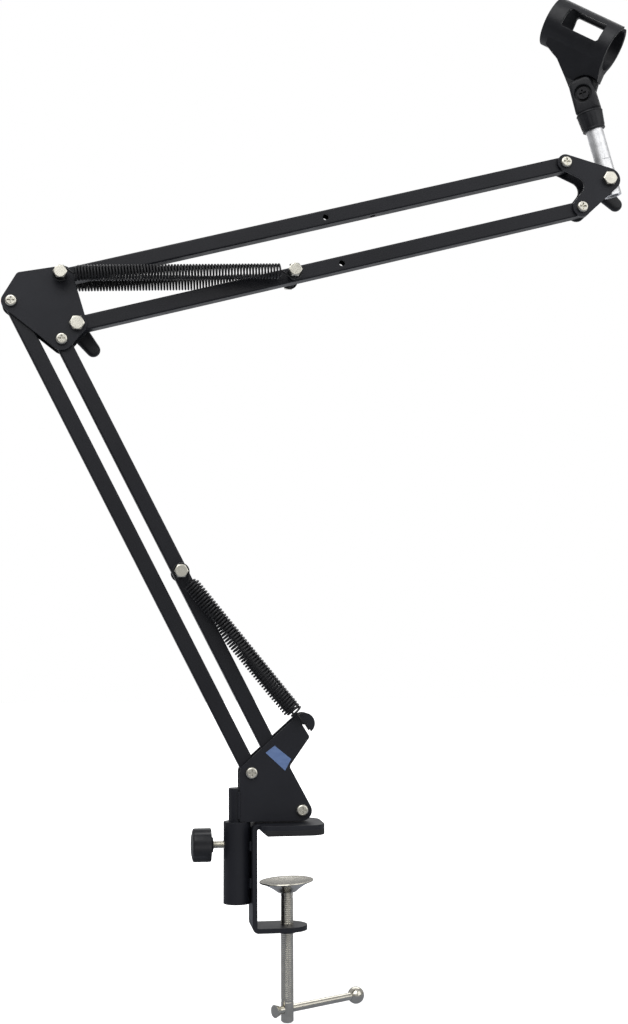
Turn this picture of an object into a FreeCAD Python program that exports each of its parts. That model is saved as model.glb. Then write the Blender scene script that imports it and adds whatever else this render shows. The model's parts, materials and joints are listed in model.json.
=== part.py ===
# Spring-balanced desk-clamp boom arm for a microphone, in millimetres.
# +Z is up, the arm swings in the plane y = 0, and the origin is on the clamp's desk face,
# on the axis of the clamp screw.
import FreeCAD, Part
import math
import os

V = FreeCAD.Vector
tiny = 1e-6

# Clamp
strip_thickness = 3.0
strip_width = 26.0
bend_radius = 4.0
throat = 20.4              # screw axis to the inner face of the upright strip
gape = 58.2                # desk face to the top of the lower jaw
top_jaw_reach = 22.9       # screw axis to the free end of the top jaw
top_jaw_width = 44.0
top_jaw_corner = 11.0
top_jaw_root = 7.6         # from the neck's free end back to the jaw's root
jaw_neck = 9.0             # narrow stretch of the top jaw beside the strip
jaw_shoulder_round = 4.8
jaw_pad_thickness = 3.5
jaw_pad_lead = 4.2         # length of the pad's slanted lead-in
collar_radius = 5.6
collar_height = 2.0
clamp_screw_diameter = 8.0
clamp_screw_pitch = 1.25
clamp_screw_length = 83.0  # from the pad's seat to the lower end
clamp_screw_chamfer = 1.0
clamp_thread_depth = 0.5
clamp_thread_flank = 0.55  # height of a groove's upper flank
swivel_end_diameter = 6.0  # screw's turned end in the pad
pad_rim_diameter = 35.0
pad_rim_drop = 31.0        # desk face down to the pad's rim
pad_rim_height = 1.2
pad_rim_slope = 2.0        # width of the sloping edge on top
pad_rim_undercut = 1.0
pad_cone_height = 7.4
pad_neck_height = 1.6
pad_neck_diameter = 9.8
ball_seat_depth = 4.0
tommy_rise = 8.0           # cross hole's height over the screw's lower end
tommy_diameter = 4.8
tommy_long_side = 52.0     # screw axis to the ball's root
tommy_short_side = 7.0     # screw axis to the cap's root
tommy_angle = 30.0         # from +X towards +Y
tommy_ball_diameter = 11.0
tommy_cap_diameter = 8.0
tommy_cap_length = 3.0
tommy_cap_flare = 1.0

# Swivel socket and its lock
socket_diameter = 17.5
socket_length = 51.4
socket_proud = 1.0         # socket's rim over the top jaw
socket_weld_length = 6.0
socket_weld_size = 1.7
socket_weld_gap = 0.88     # space between socket and strip at a bead's middle
upper_weld_drop = 15.4     # socket's rim down to a bead's middle
lower_weld_drop = 38.6
post_diameter = 11.0
post_in_socket = 48.0
post_top_drop = 10.0       # first base pivot down to the post's top
lock_drop = 7.0            # desk face down to the lock screw's axis
lock_screw_diameter = 5.0
lock_knob_gap = 6.6        # bare thread between socket and knob
lock_knob_diameter = 21.4
lock_knob_length = 13.2
lock_knob_dome = 1.6
lock_knob_hub_length = 1.2
lock_knob_hub_diameter = 11.0
lock_knob_hub_tip = 8.4
lock_knob_lobes = 7
lock_knob_flute_radius = 3.4
lock_knob_flute_depth = 0.9

# Arm geometry in the plane y = 0
base_pivot_offset = 8.7    # post axis to the first base pivot, along X
base_pivot_height = 31.0   # plates' lower edge to the first base pivot
lower_pair_span = 40.6     # spacing of the two lower bars' pivots
lower_pair_angle = -36.6
lower_arm_length = 341.4
lower_arm_angle = 117.16
upper_pair_span = 33.1
upper_pair_angle = -70.8
upper_arm_length = 355.1
upper_arm_angle = 14.94
elbow_step_x = 9.7         # inner lower pivot to the bottom upper pivot
elbow_step_z = 10.5
head_step_x = 20.0         # bottom head pivot to the post pivot
head_step_z = 20.7
lower_spring_place = 172.0  # along the inner bar from its base pivot
upper_spring_place = 146.7  # along the bottom bar from its elbow pivot

# Bars and plates
bar_size = 10.0
bar_wall = 1.0
bar_corner = 1.0
bar_overhang = 4.5
bar_hole_diameter = 4.0
bar_hole_place = 181.2
underside_hole_place = 214.0
washer_thickness = 0.4
washer_diameter = 9.0
side_play = 0.1            # on each side of a bar between its washers and plates
plate_thickness = 1.5
ear_radius = 6.4
hook_radius = 6.8
hook_x = 34.4              # hook centre from the first base pivot
hook_z = 31.0
hook_slot_width = 2.6
hook_slot_angle = -58.0
hook_seat_drop = 0.8       # hook centre down to the end of its slot
arm_end_length = 7.5       # edge of the plate's arm beside the slot
arm_end_round = 1.5
waist_x = 27.5             # plate's inner corner from the first base pivot
waist_z = 3.5
waist_round = 2.5
foot_round = 1.0
plate_setback = 1.0        # post axis to the plates' upright edge
elbow_low_ear = 7.3
elbow_top_shift_x = 1.4    # top upper pivot to its ear's centre
elbow_top_shift_z = 0.4
elbow_corner_x = 5.8       # outer lower pivot to the corner's centre
elbow_corner_z = 15.8
elbow_corner_round = 3.5
head_top_ear = 5.8
head_end_ear = 8.0
notch_radius = 6.6
notch_shift = 0.6          # towards the post, off the middle of the two bars
post_weld_size = 1.2
post_weld_margin = 2.0     # plate's foot and post's top to the ends of a bead
label_thickness = 0.25
label_corners = ((9.0, 12.6), (14.9, 17.0), (25.6, 8.4), (21.6, 1.0))  # x, z from the first base pivot

# Fasteners
pivot_screw_diameter = 4.0
pan_head_diameter = 7.6
pan_head_height = 2.6
pan_head_round = 1.2
cross_width = 4.7          # screwdriver recess
cross_blade = 1.0
cross_depth = 1.6
pivot_nut_flats = 7.0
pivot_nut_height = 3.2
bolt_diameter = 5.0
bolt_head_flats = 8.0
bolt_head_height = 3.5
lock_head_flats = 8.8
bolt_nut_height = 4.0
bolt_tail = 1.0            # thread past a nut
hex_corner_cut = 0.1
bush_diameter = 8.0
bush_reach = 16.0          # arm plane to a bush's outer face
running_gap = 0.05         # radial, round every shaft that turns

# Wing knobs
wing_hub_diameter = 12.0
wing_hub_height = 5.0
wing_span = 42.0
wing_root_width = 12.4
wing_tip_width = 9.4
wing_thickness = 6.0
wing_skin = 1.5            # knob's closed end over its bolt
elbow_wing_angle = -51.0
head_wing_angle = -42.0

# Springs
wire_diameter = 1.2
coil_diameter = 10.6
spring_plane = 13.4        # arm plane to the spring axis at the bolts
spring_turns = 25
lower_spring_foot_plane = 9.4
upper_coil_margin = 9.0    # bolt axis to the first full turn
lower_coil_margin = 14.0   # hook to the last full turn
coil_lead = 4.2            # length of a straight end's bend into the turns
least_turn_gap = 0.4

# Microphone post and clip
mic_post_diameter = 12.0
mic_post_lean = 105.0
mic_post_offset = 2.4      # pivot to the post's axis
mic_post_tail = 10.6
mic_post_shoulder = 37.6
mic_post_flat_length = 26.0
mic_post_bore = 8.0        # hollow lower end
mic_post_bore_depth = 24.0
spigot_diameter = 9.5
spigot_length = 12.0
clip_swivel_angle = -30.0
clip_tilt_angle = 46.0
clip_hinge_rise = 64.0     # post pivot to the clip's hinge
clip_skirt_foot = 15.8
clip_skirt_top = 18.6
clip_skirt_length = 13.6
clip_base_depth = 11.6
clip_shoulder_round = 2.0
clip_cheek_radius = 7.7
clip_tongue = 4.6
clip_swing_radius = 12.4   # hinge to where the clip may be broader than its tongue
clip_swing_gap = 0.4
clip_cheek_width = 14.0
clip_hinge_diameter = 3.5
clip_hinge_head = 8.4
clip_hinge_head_depth = 2.2
clip_hinge_head_room = 1.8
clip_hinge_sink = 0.2      # cheek face down to the screw's head
hinge_cross_width = 5.0
hinge_cross_blade = 1.1
hinge_cross_depth = 1.2
clip_nut_flats = 5.5
clip_stem = 35.0           # hinge to the clip tube's axis
clip_offset = 21.4         # hinge to the tube's middle, along the tube
clip_flank_rise = 8.0      # hinge to the low end of the stem's flanks
clip_flank_round = 3.4
clip_flank_inset = 0.8     # the flanks start this far inside the tube's skin
clip_web_round = 2.0
clip_web_hollow = 14.0     # radius of the stem's hollow edge
clip_web_inset = 8.0       # tube's end to the stem's corner
clip_bore = 29.0
clip_wall = 2.5
clip_length = 49.2
clip_slit = 7.0
clip_window_length = 29.0
clip_window_height = 13.6
clip_window_shift = 1.2    # towards the hinge, from the tube's middle
clip_window_rise = 4.5
clip_window_round = 2.0

# Derived places
plate_inner = bar_size / 2 + washer_thickness + side_play
plate_outer = plate_inner + plate_thickness
strip_outer_x = -throat - strip_thickness
post_x = strip_outer_x - socket_diameter / 2
jaw_top = jaw_pad_thickness + strip_thickness
socket_top = jaw_top + socket_proud
socket_bottom = socket_top - socket_length
plate_foot = socket_top + side_play
clip_diameter = clip_bore + 2 * clip_wall


def polar(length, degrees):
    """Vector in the arm plane, angles from +X towards +Z."""
    angle = math.radians(degrees)
    return V(length * math.cos(angle), 0, length * math.sin(angle))


lower_pair = polar(lower_pair_span, lower_pair_angle)
upper_pair = polar(upper_pair_span, upper_pair_angle)
lower_run = polar(lower_arm_length, lower_arm_angle)
upper_run = polar(upper_arm_length, upper_arm_angle)
B1 = V(post_x + base_pivot_offset, 0, plate_foot + base_pivot_height)
B2 = B1 + lower_pair
E1 = B1 + lower_run
E2 = B2 + lower_run
U2 = E2 + V(elbow_step_x, 0, elbow_step_z)
U1 = U2 - upper_pair
H1 = U1 + upper_run
H2 = U2 + upper_run
H3 = H2 + V(head_step_x, 0, head_step_z)
S1 = U2 + polar(upper_spring_place, upper_arm_angle)
S2 = B2 + polar(lower_spring_place, lower_arm_angle)

os.makedirs("parts", exist_ok=True)


def save(name, shapes):
    """Writes one node, a single solid or a group of separate solids."""
    shape = shapes if isinstance(shapes, Part.Shape) else Part.makeCompound(shapes)
    shape.exportStep("parts/" + name + ".step")


def belt(circles):
    """Closed outline round circles (x, z, radius, side) in the plane y = 0.

    They are listed anticlockwise seen from -Y. Side +1 is an outer corner, and -1 is an inner
    one. Common tangents join neighbours.
    """
    count = len(circles)
    normals = []
    for i in range(count):
        x1, z1, r1, s1 = circles[i]
        x2, z2, r2, s2 = circles[(i + 1) % count]
        span = math.hypot(x2 - x1, z2 - z1)
        ex = (x2 - x1) / span
        ez = (z2 - z1) / span
        c = (s1 * r1 - s2 * r2) / span
        s = math.sqrt(1 - c * c)
        normals.append((ex * c + ez * s, ez * c - ex * s))
    edges = []
    for i in range(count):
        x, z, r, side = circles[i]
        before = normals[i - 1]
        after = normals[i]
        heading = math.atan2(before[1], before[0])
        turn = (side * (math.atan2(after[1], after[0]) - heading)) % (2 * math.pi)
        halfway = heading + side * turn / 2
        mid = (math.cos(halfway), math.sin(halfway))
        reach = side * r
        start, middle, end = [V(x + reach * n[0], 0, z + reach * n[1]) for n in (before, mid, after)]
        edges.append(Part.Arc(start, middle, end).toShape())
        nx, nz, nr, nside = circles[(i + 1) % count]
        nxt = V(nx + nside * nr * after[0], 0, nz + nside * nr * after[1])
        edges.append(Part.LineSegment(end, nxt).toShape())
    return Part.Wire(edges)


def slab(circles, y_low, y_high):
    """Belt outline as a flat piece between two planes of y."""
    face = Part.Face(belt(circles))
    face.translate(V(0, y_low, 0))
    return face.extrude(V(0, y_high - y_low, 0))


def rod(point, diameter, y_low, y_high):
    """Cylinder along Y through a point of the arm plane."""
    return Part.makeCylinder(diameter / 2, y_high - y_low, V(point.x, y_low, point.z), V(0, 1, 0))


def hexagon(point, flats, y_low, y_high):
    """Hexagonal prism along Y with lightly chamfered corners."""
    corner = flats / math.sqrt(3)
    ring = [point + polar(corner, 60 * k) for k in range(7)]
    face = Part.Face(Part.makePolygon(ring))
    face.translate(V(0, y_low, 0))
    prism = face.extrude(V(0, y_high - y_low, 0))
    height = y_high - y_low
    rim = corner - hex_corner_cut
    wide = rim + 2 * height
    middle = V(point.x, y_low, point.z)
    low_cone = Part.makeCone(rim, wide, 2 * height, middle, V(0, 1, 0))
    high_cone = Part.makeCone(wide, rim, 2 * height, middle - V(0, height, 0), V(0, 1, 0))
    return prism.common(low_cone).common(high_cone)


def pan_screw(point, tip):
    """Cross-recessed pan-head screw on the front plates, with its shank to y = tip."""
    face = -plate_outer
    head = rod(point, pan_head_diameter, face - pan_head_height, face)
    top = [e for e in head.Edges if abs(e.BoundBox.YMax - (face - pan_head_height)) < tiny]
    head = head.makeFillet(pan_head_round, top)
    for long_side, short_side in ((cross_width, cross_blade), (cross_blade, cross_width)):
        corner = V(point.x - long_side / 2, face - pan_head_height, point.z - short_side / 2)
        head = head.cut(Part.makeBox(long_side, cross_depth, short_side, corner))
    return head.fuse(rod(point, pivot_screw_diameter, face, tip)).removeSplitter()


def nut(point, flats, hole, y_low, y_high):
    """Hexagon nut along Y."""
    return hexagon(point, flats, y_low, y_high).cut(rod(point, hole, y_low, y_high))


def ring(point, outer, inner, y_low, y_high):
    """Washer or bush along Y."""
    return rod(point, outer, y_low, y_high).cut(rod(point, inner, y_low, y_high))


def washers(pivots, hole):
    """Thin washers on both sides of a bar at each pivot."""
    low = bar_size / 2 + side_play / 2
    out = []
    for pivot in pivots:
        out.append(ring(pivot, washer_diameter, hole, low, low + washer_thickness))
        out.append(ring(pivot, washer_diameter, hole, -low - washer_thickness, -low))
    return out


def bar(start, length, degrees, holes):
    """Square tube in the arm plane, with cross holes (distance along, diameter)."""
    half = bar_size / 2
    whole = length + 2 * bar_overhang
    outer = Part.makeBox(whole, bar_size, bar_size, V(-bar_overhang, -half, -half))
    outer = outer.makeFillet(bar_corner, [e for e in outer.Edges if e.BoundBox.XLength > length])
    inside = bar_size - 2 * bar_wall
    core = Part.makeBox(whole, inside, inside, V(-bar_overhang, -inside / 2, -inside / 2))
    tube = outer.cut(core)
    for along, diameter in holes:
        tube = tube.cut(rod(V(along, 0, 0), diameter, -bar_size, bar_size))
    tube.rotate(V(0, 0, 0), V(0, 1, 0), -degrees)
    tube.translate(start)
    return tube


def long_bolt(point, tail):
    """Hexagon bolt with its head outside the front bush."""
    head = hexagon(point, bolt_head_flats, -bush_reach - bolt_head_height, -bush_reach)
    return head.fuse(rod(point, bolt_diameter, -bush_reach, tail)).removeSplitter()


def bushes(point, inner_face):
    """A pair of bushes from a face of the arm out to the bolt's head and nut."""
    hole = bolt_diameter + 2 * running_gap
    front = ring(point, bush_diameter, hole, -bush_reach, -inner_face)
    back = ring(point, bush_diameter, hole, inner_face, bush_reach)
    return [front, back]


def edges_along_y(shape, x, z):
    """Edges parallel to Y that pass through a point of the arm plane."""
    found = []
    for edge in shape.Edges:
        box = edge.BoundBox
        straight = box.XLength < tiny and box.ZLength < tiny
        if straight and abs(box.XMin - x) < tiny and abs(box.ZMin - z) < tiny:
            found.append(edge)
    return found


def broad_jaw(x_low, z_low, z_high):
    """Flat plate of the top jaw's outline, with large rounds at its free end."""
    size = V(top_jaw_reach - x_low, top_jaw_width, z_high - z_low)
    block = Part.makeBox(size.x, size.y, size.z, V(x_low, -top_jaw_width / 2, z_low))
    free_corners = [e for e in block.Edges if e.BoundBox.XMin > x_low + tiny and e.BoundBox.YLength < tiny]
    block = block.makeFillet(top_jaw_corner, free_corners)
    root_corners = [e for e in block.Edges if e.BoundBox.XMax < x_low + tiny and e.BoundBox.YLength < tiny]
    return block.makeFillet(jaw_shoulder_round, root_corners)


def upright(x, y, diameter, z_low, z_high):
    """Cylinder along Z."""
    return Part.makeCylinder(diameter / 2, z_high - z_low, V(x, y, z_low))


# Clamp frame: one bent strip with a broad top jaw and a round-ended lower jaw
lower_jaw_top = -gape
lower_jaw_foot = lower_jaw_top - strip_thickness
half_strip = strip_width / 2
neck_x = -throat + jaw_neck
screw_hole = clamp_screw_diameter + 2 * running_gap
frame_height = jaw_top - lower_jaw_foot
foot_corner = V(strip_outer_x, -half_strip, lower_jaw_foot)
upright_strip = Part.makeBox(strip_thickness, strip_width, frame_height, foot_corner)
top_neck = Part.makeBox(neck_x - strip_outer_x, strip_width, strip_thickness,
                        V(strip_outer_x, -half_strip, jaw_pad_thickness))
lower_jaw = Part.makeBox(-strip_outer_x, strip_width, strip_thickness, foot_corner)
clamp_frame = upright_strip.fuse([top_neck, lower_jaw]).removeSplitter()
clamp_frame = clamp_frame.makeFillet(bend_radius, edges_along_y(clamp_frame, strip_outer_x, jaw_top)
                                     + edges_along_y(clamp_frame, strip_outer_x, lower_jaw_foot))
inner_bends = (edges_along_y(clamp_frame, -throat, jaw_pad_thickness)
               + edges_along_y(clamp_frame, -throat, lower_jaw_top))
clamp_frame = clamp_frame.makeFillet(bend_radius - strip_thickness, inner_bends)
jaw_root = neck_x - top_jaw_root
top_jaw = broad_jaw(jaw_root, jaw_pad_thickness, jaw_top)
lower_end = upright(0, 0, strip_width, lower_jaw_foot, lower_jaw_top)
collar = upright(0, 0, 2 * collar_radius, lower_jaw_foot - collar_height, lower_jaw_foot)
clamp_frame = clamp_frame.fuse([top_jaw, lower_end, collar]).removeSplitter()
clamp_frame = clamp_frame.cut(upright(0, 0, screw_hole, lower_jaw_foot - collar_height, lower_jaw_top))
save("clamp_frame", clamp_frame)

# Rubber pad under the top jaw, with a slanted lead-in
lead_corners = [V(jaw_root, -top_jaw_width, 0), V(jaw_root + jaw_pad_lead, -top_jaw_width, 0),
                V(jaw_root, -top_jaw_width, jaw_pad_thickness)]
lead_in = Part.Face(Part.makePolygon(lead_corners + lead_corners[:1]))
save("jaw_pad", broad_jaw(jaw_root, 0, jaw_pad_thickness).cut(lead_in.extrude(V(0, 2 * top_jaw_width, 0))))

# Swivel socket, welded to the strip's outer face and cross-tapped for the lock screw
lock_z = -lock_drop
socket_bore = post_diameter + 2 * running_gap
lock_hole = lock_screw_diameter + 2 * running_gap
socket = upright(post_x, 0, socket_diameter, socket_bottom, socket_top)
socket = socket.cut(upright(post_x, 0, socket_bore, socket_bottom, socket_top))
socket = socket.cut(Part.makeCylinder(lock_hole / 2, socket_diameter, V(post_x, 0, lock_z), V(-1, 0, 0)))
save("socket_tube", socket)

welds = []
weld_spot = math.sqrt(socket_diameter * socket_weld_gap)
socket_core = upright(post_x, 0, socket_diameter, socket_bottom, socket_top)
for side in (-1, 1):
    for drop in (upper_weld_drop, lower_weld_drop):
        low = socket_top - drop - socket_weld_length / 2
        bead = upright(strip_outer_x, side * weld_spot, 2 * socket_weld_size, low, low + socket_weld_length)
        welds.append(bead.cut(socket_core).cut(upright_strip))
save("socket_welds", welds)

# Lock screw and its lobed knob, along X
socket_left = post_x - socket_diameter / 2
knob_face = socket_left - lock_knob_gap
screw_tip = post_x - post_diameter / 2 - running_gap
lock_screw = Part.makeCylinder(lock_screw_diameter / 2, screw_tip - knob_face + lock_knob_hub_length,
                               V(knob_face - lock_knob_hub_length, 0, lock_z), V(1, 0, 0))
save("lock_screw", lock_screw)


def lobed_knob():
    """Knob with round lobes, a domed face and a conical hub."""
    body_x = knob_face - lock_knob_hub_length
    radius = lock_knob_diameter / 2
    disc = Part.makeCylinder(radius, lock_knob_length, V(body_x, 0, lock_z), V(-1, 0, 0))
    flute_circle = radius + lock_knob_flute_radius - lock_knob_flute_depth
    for k in range(lock_knob_lobes):
        angle = 2 * math.pi * (k + 0.5) / lock_knob_lobes
        place = V(body_x, flute_circle * math.cos(angle), lock_z + flute_circle * math.sin(angle))
        disc = disc.cut(Part.makeCylinder(lock_knob_flute_radius, lock_knob_length, place, V(-1, 0, 0)))
    dome_radius = (radius * radius + lock_knob_dome * lock_knob_dome) / (2 * lock_knob_dome)
    face_x = body_x - lock_knob_length
    disc = disc.common(Part.makeSphere(dome_radius, V(face_x + dome_radius, 0, lock_z)))
    middle = V(body_x, 0, lock_z)
    root_r = lock_knob_hub_diameter / 2
    hub = Part.makeCone(root_r, lock_knob_hub_tip / 2, lock_knob_hub_length, middle, V(1, 0, 0))
    bore = Part.makeCylinder(lock_hole / 2, lock_knob_hub_length, middle, V(1, 0, 0))
    return disc.fuse(hub).removeSplitter().cut(bore)


save("lock_knob", lobed_knob())

# Pressure pad: dished steel disc on a cone, with a socket for the screw's end
rim_z = -pad_rim_drop
cone_z = rim_z - pad_cone_height
pad_foot = cone_z - pad_neck_height
seat_z = pad_foot + ball_seat_depth
end_r = swivel_end_diameter / 2
rim_r = pad_rim_diameter / 2
neck_r = pad_neck_diameter / 2
pad_top = rim_z + pad_rim_height / 2
profile = [V(0, 0, pad_top), V(rim_r - pad_rim_slope, 0, pad_top), V(rim_r, 0, rim_z),
           V(rim_r - pad_rim_undercut, 0, rim_z - pad_rim_height), V(neck_r, 0, cone_z),
           V(neck_r, 0, pad_foot), V(end_r + running_gap, 0, pad_foot), V(end_r + running_gap, 0, seat_z),
           V(0, 0, seat_z), V(0, 0, pad_top)]
pressure_pad = Part.Face(Part.makePolygon(profile)).revolve(V(0, 0, 0), V(0, 0, 1), 360)
save("pressure_pad", pressure_pad)

# Clamp screw with ring grooves for its thread, a turned end and a cross hole
screw_top = seat_z - running_gap
screw_foot = screw_top - clamp_screw_length
outer_r = clamp_screw_diameter / 2
root_r = outer_r - clamp_thread_depth
groove_top = pad_foot - clamp_screw_pitch
groove_foot = screw_foot + tommy_rise + tommy_diameter
shoulder_z = pad_foot - running_gap
profile = [V(0, 0, screw_top), V(end_r, 0, screw_top), V(end_r, 0, shoulder_z), V(outer_r, 0, shoulder_z)]
grooves = int((groove_top - groove_foot) / clamp_screw_pitch)
for k in range(grooves):
    z = groove_top - k * clamp_screw_pitch
    profile += [V(outer_r, 0, z), V(root_r, 0, z - clamp_thread_flank)]
thread_foot = groove_top - grooves * clamp_screw_pitch
profile += [V(outer_r, 0, thread_foot), V(outer_r, 0, screw_foot + clamp_screw_chamfer),
            V(outer_r - clamp_screw_chamfer, 0, screw_foot), V(0, 0, screw_foot), V(0, 0, screw_top)]
clamp_screw = Part.Face(Part.makePolygon(profile)).revolve(V(0, 0, 0), V(0, 0, 1), 360)
tommy_z = screw_foot + tommy_rise
tommy_way = V(math.cos(math.radians(tommy_angle)), math.sin(math.radians(tommy_angle)), 0)
tommy_middle = V(0, 0, tommy_z)
cross_hole = Part.makeCylinder(tommy_diameter / 2 + running_gap, 2 * clamp_screw_diameter,
                               tommy_middle - tommy_way * clamp_screw_diameter, tommy_way)
save("clamp_screw", clamp_screw.cut(cross_hole))

# Sliding tommy bar with a ball on one end and a cap on the other
tommy_start = tommy_middle - tommy_way * tommy_short_side
tommy_length = tommy_short_side + tommy_long_side
save("tommy_bar", Part.makeCylinder(tommy_diameter / 2, tommy_length, tommy_start, tommy_way))
ball_reach = math.sqrt(tommy_ball_diameter ** 2 - tommy_diameter ** 2) / 2
ball_root = tommy_middle + tommy_way * tommy_long_side
ball = Part.makeSphere(tommy_ball_diameter / 2, ball_root + tommy_way * ball_reach)
past_root = Part.makeCylinder(tommy_ball_diameter, 2 * tommy_ball_diameter, ball_root, tommy_way)
save("tommy_ball", ball.common(past_root))
cap_radius = tommy_cap_diameter / 2
cap = Part.makeCone(cap_radius - tommy_cap_flare, cap_radius, tommy_cap_length, tommy_start, tommy_way * -1)
save("tommy_cap", cap)

# Base: swivel post with two side plates
base_post = upright(post_x, 0, post_diameter, plate_foot - post_in_socket, B1.z - post_top_drop)
save("base_post", base_post)
pivot_hole = pivot_screw_diameter + 2 * running_gap
bolt_hole = bolt_diameter + 2 * running_gap
hook = B1 + V(hook_x, 0, hook_z)
hook_seat = hook - V(0, 0, hook_seat_drop)
plate_left = post_x + plate_setback
waist = B1 + V(waist_x, 0, waist_z)
slot_way = polar(1, hook_slot_angle)
slot_left = polar(hook_slot_width / 2 + arm_end_round, hook_slot_angle - 90)
arm_end = hook_seat + slot_left
arm_corner = arm_end + slot_way * arm_end_length
foot_outline = [(plate_left + foot_round, plate_foot + foot_round, foot_round, 1),
                (B2.x, plate_foot + ear_radius, ear_radius, 1),
                (waist.x, waist.z, waist_round, -1),
                (arm_corner.x, arm_corner.z, arm_end_round, 1),
                (arm_end.x, arm_end.z, arm_end_round, 1),
                (plate_left + ear_radius, B1.z, ear_radius, 1)]
hook_outline = [(plate_left + ear_radius, B1.z, ear_radius, 1), (hook.x, hook.z, hook_radius, 1)]


def base_plate(y_low, y_high):
    """Base side plate with its spring hook."""
    plate = slab(foot_outline, y_low, y_high).fuse(slab(hook_outline, y_low, y_high)).removeSplitter()
    end = hook_seat + slot_way * (4 * hook_radius)
    half = hook_slot_width / 2
    plate = plate.cut(slab([(hook_seat.x, hook_seat.z, half, 1), (end.x, end.z, half, 1)], y_low, y_high))
    for pivot in (B1, B2):
        plate = plate.cut(rod(pivot, pivot_hole, y_low, y_high))
    return plate


base_front = base_plate(-plate_outer, -plate_inner)
base_back = base_plate(plate_inner, plate_outer)
save("base_plate_front", base_front)
save("base_plate_back", base_back)
post_welds = []
for side in (-1, 1):
    bead = upright(plate_left, side * (plate_inner + post_weld_size / 2), 2 * post_weld_size,
                   plate_foot + post_weld_margin, B1.z - post_top_drop - post_weld_margin)
    bead = bead.cut(base_post)
    post_welds.append(bead.cut(base_front if side < 0 else base_back))
save("post_welds", post_welds)

# Blank label on the front plate's neck
neck = [B1 + V(x, 0, z) for x, z in label_corners]
label = Part.Face(Part.makePolygon(neck + neck[:1]))
label.translate(V(0, -plate_outer - label_thickness, 0))
save("blank_label", label.extrude(V(0, label_thickness, 0)))


def pivot_set(name, pivots):
    """Screws, nuts and washers of one bracket's plain pivots."""
    nut_top = plate_outer + pivot_nut_height
    nuts = [nut(p, pivot_nut_flats, pivot_screw_diameter, plate_outer, nut_top) for p in pivots]
    save(name + "_pivot_screws", [pan_screw(p, nut_top + bolt_tail) for p in pivots])
    save(name + "_pivot_nuts", nuts)
    save(name + "_washers", washers(pivots, pivot_hole))


pivot_set("base", (B1, B2))

# Bars
lower_holes = [(0, pivot_hole), (lower_arm_length, pivot_hole)]
lower_spring_hole = (lower_spring_place, bolt_hole)
save("lower_outer_bar", bar(B1, lower_arm_length, lower_arm_angle, lower_holes))
save("lower_inner_bar", bar(B2, lower_arm_length, lower_arm_angle, lower_holes + [lower_spring_hole]))
upper_holes = [(0, bolt_hole), (upper_arm_length, pivot_hole), (bar_hole_place, bar_hole_diameter)]
upper_spring_hole = (upper_spring_place, bolt_hole)
save("upper_bottom_bar", bar(U2, upper_arm_length, upper_arm_angle, upper_holes + [upper_spring_hole]))
top_bar = bar(U1, upper_arm_length, upper_arm_angle, upper_holes)
underside = U1 + polar(underside_hole_place, upper_arm_angle)
downward = polar(1, upper_arm_angle - 90)
save("upper_top_bar", top_bar.cut(Part.makeCylinder(bar_hole_diameter / 2, bar_size, underside, downward)))

# Spring bolts through the bars and the elbow
nut_tail = bush_reach + bolt_nut_height + bolt_tail
for name, point, face in (("lower_spring", S2, bar_size / 2), ("upper_spring", S1, bar_size / 2),
                          ("elbow_spring", U1, plate_outer)):
    save(name + "_bolt", long_bolt(point, nut_tail))
    save(name + "_nut", nut(point, bolt_head_flats, bolt_diameter, bush_reach, bush_reach + bolt_nut_height))
    save(name + "_bushes", bushes(point, face))

# Elbow plates
elbow_outline = [(E1.x, E1.z, ear_radius, 1),
                 (E2.x, E2.z, elbow_low_ear, 1),
                 (U2.x, U2.z, ear_radius, 1),
                 (U1.x + elbow_top_shift_x, U1.z + elbow_top_shift_z, ear_radius, 1),
                 (E1.x + elbow_corner_x, E1.z + elbow_corner_z, elbow_corner_round, 1)]


def drilled(outline, y_low, y_high, holes):
    """Plate of one outline with cross holes (point, diameter)."""
    plate = slab(outline, y_low, y_high)
    for point, diameter in holes:
        plate = plate.cut(rod(point, diameter, y_low, y_high))
    return plate


elbow_holes = [(E1, pivot_hole), (E2, pivot_hole), (U1, bolt_hole), (U2, bolt_hole)]
save("elbow_plate_front", drilled(elbow_outline, -plate_outer, -plate_inner, elbow_holes))
save("elbow_plate_back", drilled(elbow_outline, plate_inner, plate_outer, elbow_holes))
pivot_set("elbow", (E1, E2))
save("elbow_bolt_washers", washers((U1, U2), bolt_hole))

# Head plates, with a round notch between the two bars
notch = (H1 + H2) * 0.5 + V(notch_shift, 0, -notch_shift)
head_outline = [(H1.x, H1.z, head_top_ear, 1),
                (notch.x, notch.z, notch_radius, -1),
                (H2.x, H2.z, ear_radius, 1),
                (H3.x, H3.z, head_end_ear, 1)]
head_holes = [(H1, pivot_hole), (H2, pivot_hole), (H3, bolt_hole)]
save("head_plate_front", drilled(head_outline, -plate_outer, -plate_inner, head_holes))
save("head_plate_back", drilled(head_outline, plate_inner, plate_outer, head_holes))
pivot_set("head", (H1, H2))


# Lock bolts with wing knobs behind
wing_foot = plate_outer + side_play
wing_top = wing_foot + wing_hub_height + wing_thickness


def lock_bolt(point):
    """Hexagon bolt whose head sits on the front plate."""
    head = hexagon(point, lock_head_flats, -plate_outer - bolt_head_height, -plate_outer)
    shank = rod(point, bolt_diameter, -plate_outer, wing_top - wing_skin - side_play)
    return head.fuse(shank).removeSplitter()


def wing_knob(point, degrees):
    """Moulded knob with two rounded wings on a stepped hub."""
    hub = rod(point, wing_hub_diameter, wing_foot, wing_top)
    reach = polar((wing_span - wing_tip_width) / 2, degrees)
    root = (point.x, point.z, wing_root_width / 2, 1)
    tips = [(p.x, p.z, wing_tip_width / 2, 1) for p in (point + reach, point - reach)]
    wings = slab([tips[0], root, tips[1], root], wing_top - wing_thickness, wing_top)
    return hub.fuse(wings).removeSplitter().cut(rod(point, bolt_hole, wing_foot, wing_top - wing_skin))


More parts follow.
